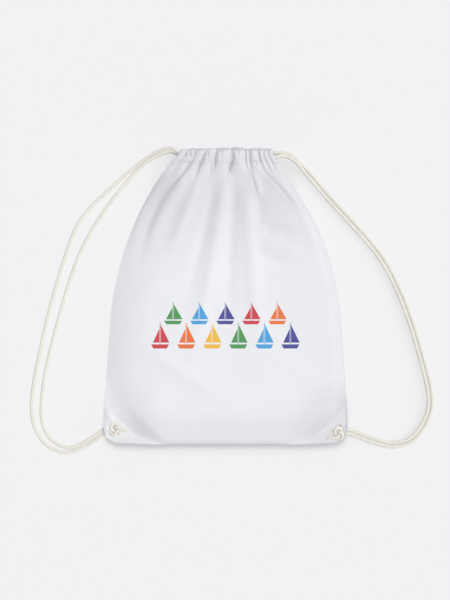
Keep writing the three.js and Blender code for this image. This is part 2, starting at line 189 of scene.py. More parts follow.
def startGroup(name, inputs, outputs):
    tree = bpy.data.node_groups.new(name, "ShaderNodeTree")
    for label, kind in inputs:
        tree.interface.new_socket(name=label, in_out="INPUT", socket_type=kind)
    for label, kind in outputs:
        tree.interface.new_socket(name=label, in_out="OUTPUT", socket_type=kind)
    given = tree.nodes.new("NodeGroupInput")
    result = tree.nodes.new("NodeGroupOutput")
    return tree, given.outputs, result.inputs


def placeGroup(tree, group, **values):
    node = tree.nodes.new("ShaderNodeGroup")
    node.node_tree = group
    for label, value in values.items():
        feed(tree, node.inputs[label], value)
    return node.outputs


def startMaterial(name, finish):
    material = bpy.data.materials.new(name)
    material.use_nodes = True
    tree = material.node_tree
    shader = tree.nodes["Principled BSDF"]
    for label, value in finish.items():
        shader.inputs[label].default_value = value
    return material, tree, shader.inputs


# plain weave: warp over weft in turn, with thicker and thinner threads; Place is in millimetres
weave = {
    "slubLong": 0.035,
    "slubFine": 0.9,
    "blotch": 0.028,
    "meanHeight": 1.5,
    "threadShade": 0.05,
    "blotchShade": 0.035,
}


def buildWeave():
    floats = [("Height", "NodeSocketFloat"), ("Shade", "NodeSocketFloat")]
    tree, given, result = startGroup(
        "plainWeave", [("Place", "NodeSocketVector"), ("Pitch", "NodeSocketFloat")], floats
    )
    split = tree.nodes.new("ShaderNodeSeparateXYZ")
    tree.links.new(given["Place"], split.inputs[0])
    perThread = mathOf(tree, "DIVIDE", np.pi, given["Pitch"])
    warp = mathOf(tree, "SINE", mathOf(tree, "MULTIPLY", split.outputs[0], perThread))
    weft = mathOf(tree, "SINE", mathOf(tree, "MULTIPLY", split.outputs[1], perThread))
    over = mathOf(tree, "MULTIPLY_ADD", mathOf(tree, "MULTIPLY", warp, weft), 0.5, 0.5)
    fine, long = weave["slubFine"], weave["slubLong"]
    warpSlub = noiseAt(tree, stretched(tree, given["Place"], (fine, long, 1)), 1)
    weftSlub = noiseAt(tree, stretched(tree, given["Place"], (long, fine, 1)), 1)
    slub = mathOf(tree, "ADD", warpSlub, weftSlub)
    height = mathOf(tree, "ADD", over, slub)
    blotch = noiseAt(tree, given["Place"], weave["blotch"], 3)
    # Shade: painted shade, darker where the weave lies low, plus random blotches of tone
    uneven = mathOf(tree, "SUBTRACT", height, weave["meanHeight"])
    threadShade = mathOf(tree, "MULTIPLY", uneven, weave["threadShade"])
    blotchShade = mathOf(tree, "MULTIPLY", mathOf(tree, "SUBTRACT", blotch, 0.5), weave["blotchShade"])
    shade = mathOf(tree, "ADD", mathOf(tree, "ADD", threadShade, blotchShade), 1)
    feed(tree, result["Height"], height)
    feed(tree, result["Shade"], shade)
    return tree


# one row of small sailing boats, printed in plain shapes; each edge is a, b, c with a x + b y + c above 0
boatEdges = {
    "hull": [(0, 1, -0.06), (0, -1, 0.21), (-1, 0.6, 0.22), (1, 0.6, 0.22)],
    "mainSail": [(1, 0, -0.025), (0, 1, -0.27), (-1, -0.52, 0.5)],
    "jib": [(-1, 0, -0.025), (0, 1, -0.27), (1, -0.5, 0.41)],
    "mast": [(1, 0, 0.012), (-1, 0, 0.012), (0, 1, -0.2), (0, -1, 0.98)],
}


def insideEdges(tree, x, y, edges):
    inside = 1.0
    for a, b, c in edges:
        level = mathOf(tree, "MULTIPLY_ADD", x, a, mathOf(tree, "MULTIPLY_ADD", y, b, c))
        inside = mathOf(tree, "MULTIPLY", mathOf(tree, "GREATER_THAN", level, 0), inside)
    return inside


def buildBoatRow():
    sizes = [(label, "NodeSocketFloat") for label in ("Left", "Base", "Pitch", "Tall", "Count")]
    outs = [(label, "NodeSocketFloat") for label in ("Mask", "Cell")]
    tree, given, result = startGroup("boatRow", [("Place", "NodeSocketVector"), *sizes], outs)
    split = tree.nodes.new("ShaderNodeSeparateXYZ")
    tree.links.new(given["Place"], split.inputs[0])
    fromLeft = mathOf(tree, "SUBTRACT", split.outputs[0], given["Left"])
    fromBase = mathOf(tree, "SUBTRACT", split.outputs[1], given["Base"])
    along = mathOf(tree, "DIVIDE", fromLeft, given["Pitch"])
    y = mathOf(tree, "DIVIDE", fromBase, given["Tall"])
    cell = mathOf(tree, "FLOOR", along)
    x = mathOf(tree, "SUBTRACT", mathOf(tree, "FRACT", along), 0.5)
    mask = 0.0
    for edges in boatEdges.values():
        mask = mathOf(tree, "MAXIMUM", insideEdges(tree, x, y, edges), mask)
    started = mathOf(tree, "GREATER_THAN", along, 0)
    ended = mathOf(tree, "LESS_THAN", along, given["Count"])
    feed(tree, result["Mask"], mathOf(tree, "MULTIPLY", mask, mathOf(tree, "MULTIPLY", started, ended)))
    feed(tree, result["Cell"], cell)
    return tree


weaveGroup = buildWeave()
boatGroup = buildBoatRow()

cottonFinish = {"Roughness": 0.92, "Specular IOR Level": 0.22, "Sheen Weight": 0.08, "Sheen Roughness": 0.5}
panelCut = (350, 465)
patchCut = (47, 47)
bagCotton = {"colour": (0.868, 0.875, 0.9, 1), "pitch": 0.62, "bump": 0.35, "relief": 0.16}
patchCotton = {"colour": (0.872, 0.872, 0.888, 1), "pitch": 0.8, "bump": 0.45, "relief": 0.2}
# grey tint of the painted shade, patchy at the given scale
paintedShade = {"tint": (0.58, 0.575, 0.61, 1), "patchScale": 190, "uneven": 0.4}


# cloth colour and bump from the weave, on the flat cut, greyer with painted shade where the shade attribute
# is high
def weaveCloth(tree, inputs, cloth, cut):
    uv = tree.nodes.new("ShaderNodeTexCoord").outputs["UV"]
    threads = placeGroup(tree, weaveGroup, Place=stretched(tree, uv, (*cut, 1)), Pitch=cloth["pitch"])
    tone = tree.nodes.new("ShaderNodeCombineColor")
    for socket in tone.inputs:
        tree.links.new(threads["Shade"], socket)
    tree.links.new(bumpFrom(tree, threads["Height"], cloth["bump"], cloth["relief"]), inputs["Normal"])
    colour = mixColours(tree, 1, cloth["colour"], tone.outputs[0], "MULTIPLY")
    shadeAttribute = tree.nodes.new("ShaderNodeAttribute")
    shadeAttribute.attribute_name = "shadeWeight"
    place = tree.nodes.new("ShaderNodeTexCoord").outputs["Object"]
    spots = noiseAt(tree, place, paintedShade["patchScale"], 1)
    uneven = mathOf(tree, "MULTIPLY_ADD", spots, paintedShade["uneven"], 1 - paintedShade["uneven"])
    shadeAmount = mathOf(tree, "MULTIPLY", shadeAttribute.outputs["Fac"], uneven)
    return mixColours(tree, shadeAmount, colour, paintedShade["tint"]), threads


def plainCotton(name, cloth, cut):
    material, tree, inputs = startMaterial(name, cottonFinish)
    colour, _ = weaveCloth(tree, inputs, cloth, cut)
    tree.links.new(colour, inputs["Base Color"])
    return material


# two staggered rows of boats across the front, in six inks
boatPrint = {
    "inks": [
        (0.62, 0.02, 0.03, 1),
        (0.85, 0.16, 0.01, 1),
        (0.88, 0.5, 0.02, 1),
        (0.05, 0.3, 0.06, 1),
        (0.04, 0.35, 0.72, 1),
        (0.035, 0.04, 0.3, 1),
    ],
    "rows": [
        {"Left": -112, "Base": -77, "Pitch": 37.2, "Tall": 40, "Count": 6, "firstInk": 0},
        {"Left": -93.4, "Base": -42, "Pitch": 37.2, "Tall": 34, "Count": 5, "firstInk": 3},
    ],
    "cover": 0.93,
    "roughness": 0.7,
}


def printedCotton(name, cloth, cut):
    material, tree, inputs = startMaterial(name, cottonFinish)
    colour, threads = weaveCloth(tree, inputs, cloth, cut)
    place = stretched(tree, tree.nodes.new("ShaderNodeTexCoord").outputs["Object"], (1 / mm,) * 3)
    inks = boatPrint["inks"]
    printed = 0.0
    for row in boatPrint["rows"]:
        sizes = {label: value for label, value in row.items() if label != "firstInk"}
        boats = placeGroup(tree, boatGroup, Place=place, **sizes)
        turned = mathOf(tree, "ADD", boats["Cell"], row["firstInk"] + 0.5)
        wrapped = mathOf(tree, "DIVIDE", mathOf(tree, "MODULO", turned, len(inks)), len(inks))
        ramp = tree.nodes.new("ShaderNodeValToRGB")
        ramp.color_ramp.interpolation = "CONSTANT"
        stops = ramp.color_ramp.elements
        while len(stops) < len(inks):
            stops.new(1)
        for k, ink in enumerate(inks):
            stops[k].position = k / len(inks)
            stops[k].color = ink
        tree.links.new(wrapped, ramp.inputs["Fac"])
        speckle = mathOf(tree, "MULTIPLY", threads["Shade"], boatPrint["cover"])
        mask = mathOf(tree, "MULTIPLY", boats["Mask"], speckle)
        colour = mixColours(tree, mask, colour, ramp.outputs["Color"])
        printed = mathOf(tree, "MAXIMUM", printed, boats["Mask"])
    tree.links.new(colour, inputs["Base Color"])
    gloss = boatPrint["roughness"] - cottonFinish["Roughness"]
    feed(tree, inputs["Roughness"], mathOf(tree, "MULTIPLY_ADD", printed, gloss, cottonFinish["Roughness"]))
    return material


# plaited cord: pale on the plaits, with painted shade darkening the grooves between them
cordCotton = {
    "plait": (0.79, 0.768, 0.705, 1),
    "groove": (0.69, 0.66, 0.59, 1),
    "fibreScale": 2600,
    "fibreShare": 0.3,
    "plaitShare": 0.95,
    "bump": 0.3,
    "relief": 0.12,
    "toneScale": 42,
    "toneSpread": 0.12,
    "finish": {
        "Roughness": 0.95,
        "Specular IOR Level": 0.2,
        "Sheen Weight": 0.1,
        "Sheen Roughness": 0.5,
    },
}


def plaitedCotton(name):
    material, tree, inputs = startMaterial(name, cordCotton["finish"])
    high = tree.nodes.new("ShaderNodeAttribute")
    high.attribute_name = "plait"
    place = tree.nodes.new("ShaderNodeTexCoord").outputs["Object"]
    fibres = noiseAt(tree, place, cordCotton["fibreScale"], 1)
    worn = noiseAt(tree, place, cordCotton["toneScale"], 2)
    raised = mathOf(tree, "MULTIPLY", high.outputs["Fac"], cordCotton["plaitShare"])
    share = mathOf(tree, "MULTIPLY_ADD", fibres, cordCotton["fibreShare"], raised)
    # painted shade: the colour is darker in the grooves
    colour = mixColours(tree, share, cordCotton["groove"], cordCotton["plait"])
    tone = mathOf(tree, "MULTIPLY_ADD", worn, cordCotton["toneSpread"], 1 - cordCotton["toneSpread"] / 2)
    grey = tree.nodes.new("ShaderNodeCombineColor")
    for socket in grey.inputs:
        tree.links.new(tone, socket)
    tree.links.new(mixColours(tree, 1, colour, grey.outputs[0], "MULTIPLY"), inputs["Base Color"])
    tree.links.new(bumpFrom(tree, fibres, cordCotton["bump"], cordCotton["relief"]), inputs["Normal"])
    return material


# sewing thread: fine twist, with painted shade darkening its grooves
threadTwist = {
    "scale": 3000,
    "dark": (0.72, 0.72, 0.74, 1),
    "pale": (0.9, 0.9, 0.9, 1),
    "bump": 0.3,
    "relief": 0.1,
}


def sewingThread(name):
    material, tree, inputs = startMaterial(name, cottonFinish)
    place = tree.nodes.new("ShaderNodeTexCoord").outputs["Object"]
    twist = noiseAt(tree, place, threadTwist["scale"], 1)
    tree.links.new(mixColours(tree, twist, threadTwist["dark"], threadTwist["pale"]), inputs["Base Color"])
    tree.links.new(bumpFrom(tree, twist, threadTwist["bump"], threadTwist["relief"]), inputs["Normal"])
    return material


bagCloth = plainCotton("bagCotton", bagCotton, panelCut)
printedCloth = printedCotton("printedBagCotton", bagCotton, panelCut)
patchCloth = plainCotton("patchCotton", patchCotton, patchCut)
cordPlait = plaitedCotton("plaitedCord")
threadCotton = sewingThread("sewingThread")
print("materials ready")

# cords: eight columns of slanted plaits round a 5.2 mm core
cordSet = {
    "diameter": 5.2,
    "columns": 8,
    "perColumn": 4,
    "perSpan": 24,
    "ringStep": 0.75,
    "plaitLength": 3.2,
    "slant": 0.5,
    "flatTop": 0.7,
    "columnRound": 0.8,
    "relief": 0.4,
    "proud": 0.03,
    "mergeWithin": 0.001,
}

# the points that each cord passes, from the knot at its corner, through both casings and back, in mm
leftRoute = [
    (-157.9, -191.2, 12.4), (-160.9, -192.5, 8.6), (-166.3, -194.5, 5.2), (-173.2, -197.1, 3),
    (-185, -205.4, 2.7), (-205, -217.8, 2.7), (-230, -224.4, 2.7), (-254, -215.6, 2.7),
    (-270, -197, 2.7), (-278.8, -164, 2.7), (-263.4, -64, 2.7), (-235, 42, 2.7),
    (-209.5, 108, 2.7), (-164, 156, 2.95), (-123.5, 190.3, 5.6), (-108, 201.2, 9.4),
    (-80, 212.4, 16.9), (-66.5, 206.1, 18.85), (-44, 205.6, 18.8), (40, 205.6, 18.85),
    (50, 205.6, 18.85), (56.3, 204.1, 16.7), (59, 200.7, 11.4), (56.3, 197.3, 6.1),
    (50, 195.8, 4), (40, 195.8, 4), (-48, 196.2, 4), (-63, 201, 4),
    (-79, 208, 3.4), (-95.6, 202.8, 2.8), (-116.4, 190.4, 2.7), (-166.6, 133.2, 2.7),
    (-208, 64, 2.7), (-244, -48, 2.7), (-262, -130, 2.7), (-263.4, -180, 2.7),
    (-250, -206.4, 2.7), (-224.6, -217.6, 2.7), (-203.2, -209.4, 2.7), (-185, -198.4, 2.7),
    (-175.3, -191.3, 3), (-168.4, -188.8, 5.2), (-163, -186.8, 8.6), (-159.4, -186.4, 12.4),
]
rightRoute = [
    (160.8, -194.4, 12.2), (164.3, -194.5, 8.2), (169.9, -195.9, 5.2), (177, -197.7, 3),
    (190, -202, 2.7), (214, -210.8, 2.7), (243, -216.4, 2.7), (270, -207.6, 2.7),
    (288.6, -183.6, 2.7), (297.4, -153, 2.7), (281.6, -77, 2.7), (253, 6.1, 2.7),
    (224.1, 59.9, 2.7), (150.6, 143.4, 2.7), (113, 186.2, 2.7), (90, 204.4, 3.2),
    (66, 205.6, 4), (-40, 205.6, 4), (-50, 205.6, 4), (-56.3, 204.1, 6.1),
    (-59, 200.7, 11.4), (-56.3, 197.3, 16.7), (-50, 195.8, 18.85), (-40, 195.8, 18.85),
    (44, 195.8, 18.8), (66, 195.9, 18.8), (82, 200.6, 16.8), (99.4, 193.4, 10.2),
    (112.6, 179, 5.6), (146.2, 139.6, 3.2), (219.2, 56.8, 2.75), (247.8, 3.7, 2.7),
    (276.2, -78.8, 2.7), (291.6, -152.6, 2.7), (283.6, -180.8, 2.7), (266.6, -202.8, 2.7),
    (242.8, -210.6, 2.7), (215.8, -205.2, 2.7), (191.6, -196.4, 2.7), (178.5, -191.8, 3),
    (171.4, -190, 5.2), (165.8, -188.6, 8.2), (162.4, -189.2, 12.2),
]


# height of the plaits, 0 in a groove and 1 on top, at a run in mm along the cord and a share of a turn
def plaitRise(run, turn):
    column = turn * cordSet["columns"]
    index = np.floor(column)
    across = 2 * (column - index) - 1
    lean = np.where(index % 2 == 0, 1, -1) * cordSet["slant"]
    wave = np.abs(np.sin(np.pi * (run / cordSet["plaitLength"] + lean * across)))
    return wave ** cordSet["flatTop"] * np.sqrt(1 - cordSet["columnRound"] * across**2)


# plaited tube along a line; the grid's length runs along it and its width wraps round
def plaitedTube(line, runs):
    sides = cordSet["columns"] * cordSet["perColumn"]
    rings = len(line) - 1
    bm = bmesh.new()
    bm.loops.layers.uv.new("wrap")
    bmesh.ops.create_grid(bm, x_segments=rings, y_segments=sides, size=1, calc_uvs=True)
    flat = (np.array([vert.co[:2] for vert in bm.verts]) + 1) / 2
    ring = np.rint(flat[:, 0] * rings).astype(int)
    turn = np.rint(flat[:, 1] * sides) / sides
    side, up = crossDirections(line)
    rise = plaitRise(runs[ring], turn % 1)
    top = cordSet["diameter"] / 2 + cordSet["proud"]
    reach = (top - cordSet["relief"] * (1 - rise))[:, None]
    angle = (2 * np.pi * turn)[:, None]
    places = line[ring] + reach * (np.cos(angle) * side[ring] + np.sin(angle) * up[ring])
    plait = bm.verts.layers.float.new("plait")
    for vert, place, high in zip(bm.verts, places * mm, rise):
        vert.co = place
        vert[plait] = high
    bmesh.ops.remove_doubles(bm, verts=bm.verts, dist=cordSet["mergeWithin"] * mm)
    bmesh.ops.holes_fill(bm, edges=[edge for edge in bm.edges if edge.is_boundary])
    bmesh.ops.recalc_face_normals(bm, faces=bm.faces)
    return bm


def layCord(name, route):
    line, runs = evenSteps(lineThrough(route, cordSet["perSpan"]), cordSet["ringStep"])
    cord = makePiece(name, plaitedTube(line, runs), cordPlait, "cord", name.replace("_plait", ""))
    return {"piece": cord, "line": line * mm, "length": runs[-1] * mm}


leftCord = layCord("left_cord_plait", leftRoute)
rightCord = layCord("right_cord_plait", rightRoute)
print("cords laid,", round(leftCord["length"], 3), "and", round(rightCord["length"], 3), "m")

# knots: an overhand knot on each corner patch, its tail frayed
knotSet = {
    "ring": 5.7,
    "lobe": 2.75,
    "rise": 2.95,
    "open": 0.34,
    "tail": 8,
    "samples": 26,
    "perSpan": 12,
    "ringStep": 0.55,
    "level": 15.6,
    "fibres": 46,
    "fibreSides": 4,
    "fibreLength": (2.5, 5.5),
    "fibreSunk": 1,
    "fibreRadius": 0.16,
    "fibreTip": 0.3,
    "fibrePale": (0.6, 1),
    "rootRing": 0.42,
    "spread": 0.42,
}
knotSeats = {
    "left": {"x": -157.4, "y": -190.4, "turn": -0.35},
    "right": {"x": 160, "y": -196.4, "turn": 3.3},
}


def knotLine():
    t = np.linspace(knotSet["open"], 2 * np.pi - knotSet["open"], knotSet["samples"] + 1)
    reach = knotSet["ring"] + knotSet["lobe"] * np.cos(3 * t)
    loop = np.stack([reach * np.cos(2 * t), reach * np.sin(2 * t), knotSet["rise"] * np.sin(3 * t)], axis=1)
    outward = loop[0] - loop[1]
    tail = loop[0] + knotSet["tail"] * outward / np.linalg.norm(outward)
    return np.vstack([tail, loop])


# loose fibres that stand out of a cut end
def frayEnd(bm, end, way, draw):
    plait = bm.verts.layers.float.get("plait")
    side = way.orthogonal().normalized()
    other = way.cross(side)
    for _ in range(knotSet["fibres"]):
        angle = draw.uniform(0, 2 * np.pi)
        out = side * np.cos(angle) + other * np.sin(angle)
        share = draw.random() ** 0.5
        length = draw.uniform(*knotSet["fibreLength"])
        lean = (way + out * draw.uniform(0, knotSet["spread"]) * share).normalized()
        root = end + out * share * cordSet["diameter"] * knotSet["rootRing"]
        middle = root + lean * (length / 2 - knotSet["fibreSunk"])
        turn = Vector((0, 0, 1)).rotation_difference(lean).to_matrix().to_4x4()
        made = bmesh.ops.create_cone(
            bm,
            cap_ends=True,
            segments=knotSet["fibreSides"],
            radius1=knotSet["fibreRadius"] * mm,
            radius2=knotSet["fibreTip"] * knotSet["fibreRadius"] * mm,
            depth=length * mm,
            matrix=Matrix.Translation(middle * mm) @ turn,
        )
        for vert in made["verts"]:
            vert[plait] = draw.uniform(*knotSet["fibrePale"])


def tieKnot(side):
    seat = knotSeats[side]
    draw = random.Random(side)
    line, runs = evenSteps(lineThrough(knotLine(), knotSet["perSpan"]), knotSet["ringStep"])
    cosine, sine = np.cos(seat["turn"]), np.sin(seat["turn"])
    x, y, z = line.T
    turned = np.stack([x * cosine - y * sine, x * sine + y * cosine, z], axis=1)
    line = turned + (seat["x"], seat["y"], knotSet["level"])
    bm = plaitedTube(line, runs)
    for end, inner in ((0, 2), (-1, -3)):  # each end, and a point behind it that gives its direction
        frayEnd(bm, Vector(line[end]), Vector(line[end] - line[inner]).normalized(), draw)
    return makePiece(side + "_knot_plait", bm, cordPlait, "cord", side + "_knot")


knots = {side: tieKnot(side) for side in knotSeats}

print("knots tied")

# both panels: the outline, the way they meet and the casing that they share, in mm
bagSet = {
    "wall": 0.8,
    "seamGap": 0.05,
    "bottom": -212.8,
    "bottomBow": 4,
    "bowHalf": 170,
    "stitchLine": 187,
    "casingHalf": 66,
    "innerHalf": 46,
    "lane": 205.6,
    "rollRadius": 3.9,
    "floor": 0.5,
    "seam": 2.0,
    "corner": 6.9,
    "cornerStep": 1.5,
    "cornerFade": 27,
    "slit": (120, 186),
    "neck": (96, 184),
    "leadRow": 5,
    "slotRim": 4,
    "hemStrip": 0.002,
}

# height, half width, sideways shift
outline = [
    (-212, 160, 0), (-207, 170, 0), (-198, 174, 0), (-184, 175, 0),
    (-130, 171.6, 0), (-60, 166.6, 0), (0, 161, 0), (60, 147, 0),
    (105, 129.5, -1), (140, 111, -2.4), (165, 95, -3), (181, 82.5, -3),
    (190, 76.5, -2.5), (198, 70, -0.8), (206, 65.5, 1), (214, 63.5, 2.5),
]

# where each cord pair comes up through its corner, and the way it heads inward
holes = {
    "left": {"x": -165.3, "y": -190.9, "heading": (0.938, 0.347)},
    "right": {"x": 168.5, "y": -192.4, "heading": (-0.97, 0.243)},
}
backSlot = {"halfLength": 8.4, "halfWidth": 6.6, "ahead": -0.5}
frontSlot = {"halfLength": 6.6, "halfWidth": 6.4, "ahead": 6}

# three-cornered patches round the holes, with the share of painted shade given to each
patchSet = {
    "base": -206.5,
    "leg": 47,
    "tip": 3,
    "inset": 3,
    "rim": 1.5,
    "steps": 30,
    "hemStrip": 0.008,
    "wall": 0.4,
    "gap": 0.05,
}
patchShade = {"left": 0.04, "right": 0.34}


def bottomEdge(x):
    return bagSet["bottom"] + bagSet["bottomBow"] * (x / bagSet["bowHalf"]) ** 4


def halfAt(y):
    return tableAt(outline, y, 1)


def shiftAt(y):
    return tableAt(outline, y, 2)


def edgeDistances(x, y):
    return x - shiftAt(y) + halfAt(y), halfAt(y) + shiftAt(y) - x, y - bottomEdge(x)


# 1 on the corner patches, fading to 0 past their slanting sides
def cornerLift(x, y):
    left, right, _ = edgeDistances(x, y)
    away = np.minimum(left, right) + y - patchSet["base"] - 2 * patchSet["inset"] - patchSet["leg"]
    return ease(bagSet["cornerFade"], patchSet["rim"], away / np.sqrt(2))


# rise of the pleats across the casing; a row is crease, rise, power
def pleatRise(pleats, across):
    table = np.array(pleats, float)
    row = np.clip(np.searchsorted(table[:, 0], across, side="right") - 1, 0, len(table) - 2)
    u = (across - table[row, 0]) / (table[row + 1, 0] - table[row, 0])
    return table[row, 1] * np.sin(np.pi * np.clip(u, 0, 1)) ** table[row, 2]


def columnsAlong(pleats, finest, perMm):
    edges = [row[0] / bagSet["casingHalf"] for row in pleats]
    steps = [max(finest, round((b - a) * bagSet["casingHalf"] * perMm)) for a, b in zip(edges, edges[1:])]
    runs = [np.linspace(a, b, n, endpoint=False) for a, b, n in zip(edges, edges[1:], steps)]
    hem = 1 - bagSet["hemStrip"]
    return np.sort(np.concatenate(runs + [[-hem, hem, 1.0]]))


# rows of the panel below the casing
def bodyRows(columns, count, clustering):
    u = np.linspace(0, 1, count + 1)[:, None]
    v = u - clustering * np.sin(2 * np.pi * u) / (2 * np.pi)
    y = blendTo(bagSet["bottom"], bagSet["stitchLine"], v)
    x = shiftAt(y) + columns * halfAt(y)
    return x, blendTo(bottomEdge(x), bagSet["stitchLine"], v)


# smooth rows through the rows of a casing section, starting from the panel's own last rows
def casingRows(body, section, columns, perSpan):
    y, z, share = section
    half = blendTo(bagSet["innerHalf"], halfAt(y), share)
    x = shiftAt(y) + columns * half
    lead = len(body) - bagSet["leadRow"]
    rows = np.concatenate([body[lead : lead + 1], body[-1:], np.stack([x, y, z], axis=2)])
    ends = np.concatenate([rows, 2 * rows[-1:] - rows[-2:-1]])
    made = []
    for before, start, end, after in zip(ends, ends[1:], ends[2:], ends[3:]):
        for k in range(1, perSpan + 1):
            u = k / perSpan
            pull = (end - before) * (u - 2 * u**2 + u**3) + (after - start) * (u**3 - u**2)
            made.append(start + (end - start) * (3 * u**2 - 2 * u**3) + 0.5 * pull)
    return np.array(made)


# the sheet itself, woven flat on its UV map, with the share of painted shade at each point
def clothGrid(grid, shadeWeight):
    rows, columns = grid.shape[0] - 1, grid.shape[1] - 1
    bm = bmesh.new()
    uv = bm.loops.layers.uv.new("flatCut")
    bmesh.ops.create_grid(bm, x_segments=columns, y_segments=rows, size=1, calc_uvs=True)
    flat = (np.array([vert.co[:2] for vert in bm.verts]) + 1) / 2
    column = np.rint(flat[:, 0] * columns).astype(int)
    row = np.rint(flat[:, 1] * rows).astype(int)
    steps = np.linalg.norm(np.diff(grid, axis=0), axis=2).mean(axis=1)
    run = np.concatenate([[0], np.cumsum(steps)]) / steps.sum()
    bm.verts.index_update()
    shadeAttribute = bm.verts.layers.float.new("shadeWeight")
    for vert, place, share in zip(bm.verts, grid[row, column] * mm, shadeWeight[row, column]):
        vert.co = place
        vert[shadeAttribute] = share
    for face in bm.faces:
        for loop in face.loops:
            k = loop.vert.index
            loop[uv].uv = (column[k] / columns, run[row[k]])
    return bm


# cuts the slot for a cord pair and rounds its edge
def openSlot(bm, hole, slot):
    heading = Vector((*hole["heading"], 0)).normalized()
    across = Vector((-heading.y, heading.x, 0))
    middle = Vector((hole["x"], hole["y"], 0)) + slot["ahead"] * heading
    straight = slot["halfLength"] - slot["halfWidth"]

    def fromCore(place):
        offset = place / mm - middle
        along, aside = offset.dot(heading), offset.dot(across)
        core = max(-straight, min(straight, along))
        return core, Vector((along - core, aside))

    cut = [face for face in bm.faces if fromCore(face.calc_center_median())[1].length < slot["halfWidth"]]
    bmesh.ops.delete(bm, geom=cut, context="FACES")
    reach = slot["halfWidth"] + bagSet["slotRim"]
    for vert in bm.verts:
        core, away = fromCore(vert.co)
        if vert.is_boundary and away.length < reach and (vert.co / mm - middle).xy.length < 2 * reach:
            edge = away.normalized() * slot["halfWidth"]
            flat = middle + heading * (core + edge.x) + across * edge.y
            vert.co.xy = flat.xy * mm


def giveWall(piece, wall):
    solid = piece.modifiers.new("wall", "SOLIDIFY")
    solid.thickness = wall * mm
    solid.offset = 0


# front panel: sizes, pleats and folds; a roll is its width and its power, 0.5 for a round edge
frontSet = {
    "bodyRows": 168,
    "clustering": 0.5,
    "perSpan": 5,
    "finestPleat": 8,
    "columnsPerMm": 1.5,
    "rollRight": (18, 0.55),
    "rollBottom": (17, 0.5),
    "rollNeck": 12,
    "slit": (146, 188),
    "gather": (164, 194),
    "gatherShare": 0.95,
    "innerLevel": 15.4,
    "toCord": 3.45,
    "puff": 0.45,
    "puffLean": 0.9,
    "outerSpans": 5,
    "overCord": 22.1,
    "overCordFrom": 192,
    "edgeStrip": 4,
    "seamBand": 7,
    "seamBandTop": (120, 100),
    "seamBandRise": 1.1,
    "stitchDip": 0.12,
    "stitchDipWidth": 1.5,
    "swell": 0.7,
    "swellSize": 52,
    # painted shade from here on: a darker top edge, mouth, sides, corners, hem and right edge
    "shadeEdge": (204, 208),
    "shadeEdgeEven": 1.0,
    "shadeEdgeLeast": 0.1,
    "shadeEdgeSize": 7,
    "shadeMouth": (30, 160),
    "shadeShare": 0.42,
    "shadeSides": 60,
    "shadeSideShare": 0.09,
    "shadeCorner": (90, 36),
    "shadeCornerShare": {"left": 0.25, "right": 0.42},
    "shadeHem": (56, 22),
    "shadeHemEdge": (4, 16),
    "shadeHemShare": 0.24,
    "shadeRight": (18, 4),
    "shadeRightShare": 0.3,
}

# height of the front along its middle: level, z
crown = [
    (-212, 14.6), (-140, 15.2), (-40, 15.4), (40, 15.6),
    (100, 17.6), (150, 20.4), (174, 21.4), (188, 21.2),
]

# slope at the left edge: level, width, and how soon it rises, 1 for a straight slope and 2 for a round one
leftSlope = [
    (-212, 84, 1.9), (-150, 80, 1.9), (-70, 60, 1.8), (0, 58, 1.7), (60, 76, 1.75),
    (110, 74, 1.7), (150, 48, 1.45), (168, 32, 1.25), (188, 14, 1.3),
]

# crease, rise of the pleat after it, power
frontPleats = [
    (-66, 1.8, 1.2),
    (-57, 2.6, 1.1),
    (-44, 4.0, 0.9),
    (-30, 5.8, 0.75),
    (-15, 6.2, 0.75),
    (7, 6.2, 0.75),
    (27, 2.0, 1.1),
    (32, 4.6, 0.9),
    (45, 2.4, 1.3),
    (52, 2.0, 1.4),
    (59, 1.6, 1.4),
    (66, 0, 1),
]

# start, bend and end of each fold, its half width and its height, minus for a valley
frontFolds = [
    ((-44, 188), (-92, 134), (-118, 60), 8, 3.2),
    ((-52, 168), (-72, 118), (-98, 56), 8, -1.2),
    ((-33, 184), (-50, 128), (-84, 54), 8, 2.4),
    ((-14, 172), (-24, 112), (-66, -40), 8, -1.8),
    ((0, 174), (-4, 112), (-50, -110), 11, 3.5),
    ((12, 172), (4, 110), (6, -80), 9, -2.3),
    ((28, 166), (34, 110), (48, -100), 12, 3.0),
    ((34, 186), (44, 164), (52, 134), 5, 2.2),
    ((32, 188), (40, 166), (47, 138), 2.6, -1.5),
    ((54, 180), (88, 150), (124, 112), 7, 2.4),
    ((52, 181), (74, 158), (108, 121), 2.8, -1.4),
    ((46, 148), (48, 118), (46, 72), 9, -1.8),
    ((62, 182), (84, 132), (94, 60), 26, 2.8),
    ((50, 94), (76, 96), (106, 86), 12, -2.3),
    ((50, 78), (78, 70), (112, 64), 10, 1.6),
    ((36, 70), (66, 46), (108, 44), 8, -1.6),
    ((-118, -66), (-62, -116), (18, -154), 13, 1.8),
]

# strip and crease along the upper left edge, given in the same way
edgeFolds = [
    ((-70, 188), (-129, 138), (-141, 30), 5, 0.9),
    ((-52, 194), (-110, 138), (-128, 26), 6.5, -2.1),
]

# where the left cord's knot pulls its corner up, given in the same way
cornerFolds = [
    ((-171, -160), (-165, -174), (-160, -187), 5, 1.8),
]

